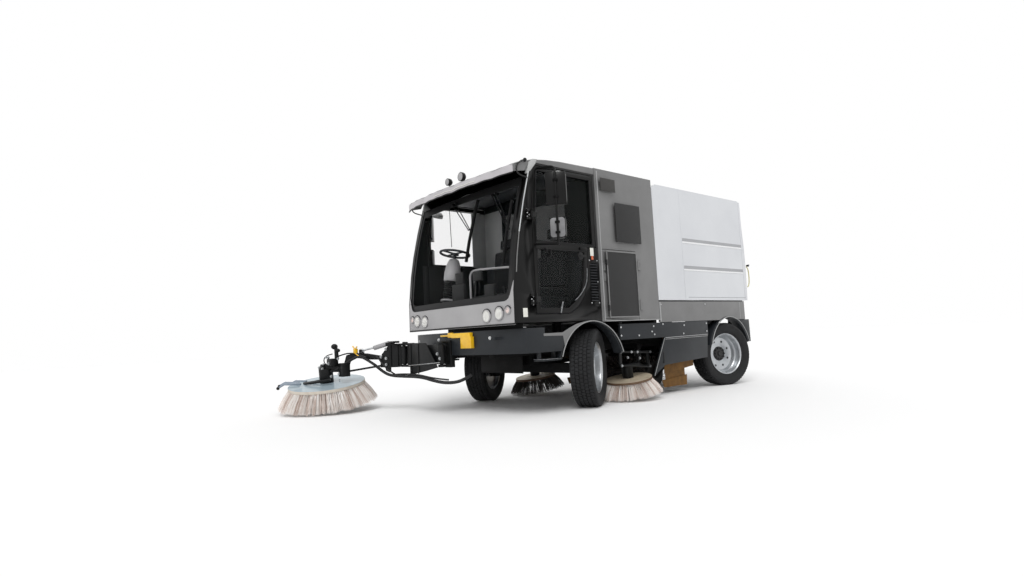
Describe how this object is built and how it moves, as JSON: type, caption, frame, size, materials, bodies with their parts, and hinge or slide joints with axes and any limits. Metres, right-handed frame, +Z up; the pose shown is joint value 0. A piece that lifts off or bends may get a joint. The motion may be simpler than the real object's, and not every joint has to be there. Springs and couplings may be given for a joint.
{
  "type": "street sweeper truck",
  "caption": "Compact cab-over street sweeper with a tipping hopper, brushes under its sides and middle, and one on a folding front arm.",
  "frame": {"origin": "centre of the bounding box's bottom face, on the ground", "axes": "+Z up, front towards -Y, +X the vehicle's left"},
  "size_m": [4.0557, 6.3338, 2.9019],
  "materials": {
    "cab_black": "gloss",
    "cab_grey": "gloss",
    "housing_grey": "gloss",
    "hopper_white": "gloss",
    "beam_grey": "satin",
    "chassis_black": "satin",
    "arm_paint": "satin",
    "lever_yellow": "gloss",
    "rod_chrome": "polished",
    "rim_silver": "satin",
    "engine_iron": "matte",
    "cab_glass": "clear",
    "lamp_glass": "clear",
    "cab_plastic": "matte",
    "trim_black": "matte",
    "seat_fabric": "matte",
    "flap_rubber": "matte",
    "tyre_rubber": "matte",
    "bristle": "matte"
  },
  "bodies": {
    "root": {"chassis_frame": "chassis_black", "front_beam": "beam_grey", "cab_shell": "cab_black", "cab_roof": "cab_grey", "front_panel": "cab_grey", "windscreen": "cab_glass", "lamps": "lamp_glass", "wipers": "trim_black", "dashboard": "cab_plastic", "seats": "seat_fabric", "engine_housing": "housing_grey", "engine_block": "engine_iron", "sill_panels": "cab_grey", "side_beams": "beam_grey", "rubber_flaps": "flap_rubber", "front_axle": "chassis_black", "rear_axle": "chassis_black", "arm_base": "arm_paint", "lock_lever": "lever_yellow", "front_apron": "chassis_black"},
    "steering_wheel": {"steering_wheel": "trim_black"},
    "front_knuckle_left": {"front_knuckle_left": "chassis_black"},
    "front_wheel_left": {"front_tyre_left": "tyre_rubber", "front_rim_left": "rim_silver"},
    "rear_knuckle_left": {"rear_knuckle_left": "chassis_black"},
    "rear_wheel_left": {"rear_tyre_left": "tyre_rubber", "rear_rim_left": "rim_silver"},
    "front_knuckle_right": {"front_knuckle_right": "chassis_black"},
    "front_wheel_right": {"front_tyre_right": "tyre_rubber", "front_rim_right": "rim_silver"},
    "rear_knuckle_right": {"rear_knuckle_right": "chassis_black"},
    "rear_wheel_right": {"rear_tyre_right": "tyre_rubber", "rear_rim_right": "rim_silver"},
    "cab_door_left": {"door_left": "cab_black", "door_glass_left": "cab_glass"},
    "engine_door_left": {"engine_door_left": "housing_grey"},
    "cab_door_right": {"door_right": "cab_black", "door_glass_right": "cab_glass"},
    "engine_door_right": {"engine_door_right": "housing_grey"},
    "hopper": {"hopper": "hopper_white"},
    "tailgate": {"tailgate": "hopper_white"},
    "tip_barrel": {"tip_barrel": "chassis_black"},
    "tip_rod": {"tip_rod": "rod_chrome"},
    "side_carrier_left": {"side_carrier_left": "chassis_black"},
    "side_arm_left": {"side_arm_left": "chassis_black"},
    "side_brush_left": {"side_brush_left": "bristle"},
    "side_carrier_right": {"side_carrier_right": "chassis_black"},
    "side_arm_right": {"side_arm_right": "chassis_black"},
    "side_brush_right": {"side_brush_right": "bristle"},
    "main_brush_frame": {"main_brush_frame": "chassis_black"},
    "main_brush": {"main_brush": "bristle"},
    "boom_inner": {"boom_inner": "arm_paint"},
    "boom_outer": {"boom_outer": "arm_paint"},
    "lift_arm": {"lift_arm": "arm_paint"},
    "tie_bar": {"tie_bar": "arm_paint"},
    "brush_head": {"brush_head": "arm_paint"},
    "front_brush": {"front_brush": "bristle"},
    "lift_barrel": {"lift_barrel": "arm_paint"},
    "lift_rod": {"lift_rod": "rod_chrome"}
  },
  "joints": [
    {"name": "front_steer_left", "type": "hinge", "parent": "root", "child": "front_knuckle_left", "pos_m": [1.40716, -0.56807, 0.463], "axis": [0, 0, 1], "range_deg": [-63, 2]},
    {"name": "front_roll_left", "type": "hinge", "parent": "front_knuckle_left", "child": "front_wheel_left", "pos_m": [1.55631, -0.47845, 0.463], "axis": [0.8572, 0.515, 0], "continuous": true},
    {"name": "rear_steer_left", "type": "hinge", "parent": "root", "child": "rear_knuckle_left", "pos_m": [1.40716, 2.48693, 0.463], "axis": [0, 0, 1], "range_deg": [-1.47, 30.98]},
    {"name": "rear_roll_left", "type": "hinge", "parent": "rear_knuckle_left", "child": "rear_wheel_left", "pos_m": [1.57523, 2.4419, 0.463], "axis": [0.9659, -0.2588, 0], "continuous": true},
    {"name": "front_steer_right", "type": "hinge", "parent": "root", "child": "front_knuckle_right", "pos_m": [-0.11284, -0.56807, 0.463], "axis": [0, 0, 1], "range_deg": [-63.5, 2.5]},
    {"name": "front_roll_right", "type": "hinge", "parent": "front_knuckle_right", "child": "front_wheel_right", "pos_m": [-0.26198, -0.65769, 0.463], "axis": [0.8572, 0.515, 0], "continuous": true},
    {"name": "rear_steer_right", "type": "hinge", "parent": "root", "child": "rear_knuckle_right", "pos_m": [-0.11284, 2.48693, 0.463], "axis": [0, 0, 1], "range_deg": [-1.47, 30.98]},
    {"name": "rear_roll_right", "type": "hinge", "parent": "rear_knuckle_right", "child": "rear_wheel_right", "pos_m": [-0.28091, 2.53196, 0.463], "axis": [0.9659, -0.2588, 0], "continuous": true},
    {"name": "steering_wheel_turn", "type": "hinge", "parent": "root", "child": "steering_wheel", "pos_m": [0.15716, -1.40307, 1.93], "axis": [0, 0.1839, 0.9829], "range_deg": [-317, 12]},
    {"name": "cab_door_left", "type": "hinge", "parent": "root", "child": "cab_door_left", "pos_m": [1.76516, -1.46807, 1.7], "axis": [0, 0, 1], "range_deg": [-80, 0]},
    {"name": "engine_door_left", "type": "hinge", "parent": "root", "child": "engine_door_left", "pos_m": [1.76516, 0.32593, 1.45], "axis": [0, 0, 1], "range_deg": [0, 90]},
    {"name": "cab_door_right", "type": "hinge", "parent": "root", "child": "cab_door_right", "pos_m": [-0.47084, -1.46807, 1.7], "axis": [0, 0, 1], "range_deg": [0, 80]},
    {"name": "engine_door_right", "type": "hinge", "parent": "root", "child": "engine_door_right", "pos_m": [-0.47084, 0.32593, 1.45], "axis": [0, 0, 1], "range_deg": [-90, 0]},
    {"name": "hopper_tip", "type": "hinge", "parent": "root", "child": "hopper", "pos_m": [0.64716, 2.99693, 1.2], "axis": [-1, 0, 0], "range_deg": [0, 42]},
    {"name": "tailgate_lift", "type": "hinge", "parent": "hopper", "child": "tailgate", "pos_m": [0.64716, 2.98993, 2.86], "axis": [1, 0, 0], "range_deg": [0, 80]},
    {"name": "tip_barrel_turn", "type": "hinge", "parent": "root", "child": "tip_barrel", "pos_m": [0.64716, 2.20693, 0.7], "axis": [1, 0, 0], "range_deg": [-0.5, 5.59]},
    {"name": "tip_rod_slide", "type": "slide", "parent": "tip_barrel", "child": "tip_rod", "axis": [0, 0.7036, 0.7106], "range_m": [-0.002, 0.19731]},
    {"name": "side_swing_left", "type": "hinge", "parent": "root", "child": "side_carrier_left", "pos_m": [1.44716, 0.60693, 0.582], "axis": [0, 0, 1], "range_deg": [-15, 0]},
    {"name": "side_lift_left", "type": "slide", "parent": "side_carrier_left", "child": "side_arm_left", "axis": [0, 0, 1], "range_m": [-0.001, 0.051]},
    {"name": "side_spin_left", "type": "hinge", "parent": "side_arm_left", "child": "side_brush_left", "pos_m": [1.53716, 0.27193, 0.24456], "axis": [0.0198, -0.1483, 0.9887], "continuous": true},
    {"name": "side_swing_right", "type": "hinge", "parent": "root", "child": "side_carrier_right", "pos_m": [-0.15284, 0.60693, 0.582], "axis": [0, 0, 1], "range_deg": [0, 15]},
    {"name": "side_lift_right", "type": "slide", "parent": "side_carrier_right", "child": "side_arm_right", "axis": [0, 0, 1], "range_m": [-0.001, 0.051]},
    {"name": "side_spin_right", "type": "hinge", "parent": "side_arm_right", "child": "side_brush_right", "pos_m": [-0.24284, 0.27193, 0.24456], "axis": [-0.0198, -0.1483, 0.9887], "continuous": true},
    {"name": "main_brush_lift", "type": "hinge", "parent": "root", "child": "main_brush_frame", "pos_m": [0.64716, 1.55693, 0.56], "axis": [-1, 0, 0], "range_deg": [0, 10]},
    {"name": "main_brush_spin", "type": "hinge", "parent": "main_brush_frame", "child": "main_brush", "pos_m": [0.64716, 1.10693, 0.263], "axis": [1, 0, 0], "continuous": true},
    {"name": "boom_swing", "type": "hinge", "parent": "root", "child": "boom_inner", "pos_m": [0.52716, -1.90307, 0.711], "axis": [0, 0, 1], "range_deg": [-5, 75]},
    {"name": "boom_fold", "type": "hinge", "parent": "boom_inner", "child": "boom_outer", "pos_m": [-0.31284, -1.92307, 0.711], "axis": [0, 0, 1], "range_deg": [-45, 60]},
    {"name": "arm_lift", "type": "hinge", "parent": "boom_outer", "child": "lift_arm", "pos_m": [-0.57096, -2.07594, 0.68], "axis": [-0.5096, 0.8604, 0], "range_deg": [0, 40]},
    {"name": "tie_bar_turn", "type": "hinge", "parent": "boom_outer", "child": "tie_bar", "pos_m": [-0.57096, -2.07594, 0.59], "axis": [-0.5096, 0.8604, 0], "range_deg": [-0.5, 40.5]},
    {"name": "head_level", "type": "hinge", "parent": "lift_arm", "child": "brush_head", "pos_m": [-1.07431, -2.37404, 0.612], "axis": [-0.5096, 0.8604, 0], "range_deg": [-40.5, 0.5]},
    {"name": "front_brush_spin", "type": "hinge", "parent": "brush_head", "child": "front_brush", "pos_m": [-1.34284, -2.53307, 0.34242], "axis": [0.0989, -0.1137, 0.9886], "continuous": true},
    {"name": "lift_barrel_turn", "type": "hinge", "parent": "boom_outer", "child": "lift_barrel", "pos_m": [-0.50643, -2.03773, 0.862], "axis": [-0.5096, 0.8604, 0], "range_deg": [-0.5, 34.87]},
    {"name": "lift_rod_slide", "type": "slide", "parent": "lift_barrel", "child": "lift_rod", "axis": [-0.8478, -0.5021, -0.1709], "range_m": [-0.13219, 0.002]}
  ],
  "couplings": [
    {"joint": "rear_steer_left", "follows": "front_steer_left", "ratio": -0.48387},
    {"joint": "front_steer_right", "follows": "front_steer_left", "ratio": 1},
    {"joint": "rear_steer_right", "follows": "front_steer_left", "ratio": -0.48387},
    {"joint": "steering_wheel_turn", "follows": "front_steer_left", "ratio": 5},
    {"joint": "tip_barrel_turn", "follows": "hopper_tip", "ratio": 0.1211},
    {"joint": "tip_rod_slide", "follows": "hopper_tip", "m_per_rad": 0.26644},
    {"joint": "side_lift_left", "follows": "side_swing_left", "m_per_rad": -0.19099},
    {"joint": "side_lift_right", "follows": "side_swing_right", "m_per_rad": 0.19099},
    {"joint": "tie_bar_turn", "follows": "arm_lift", "ratio": 1},
    {"joint": "head_level", "follows": "arm_lift", "ratio": -1},
    {"joint": "lift_barrel_turn", "follows": "arm_lift", "ratio": 0.85928},
    {"joint": "lift_rod_slide", "follows": "arm_lift", "m_per_rad": -0.18648}
  ]
}
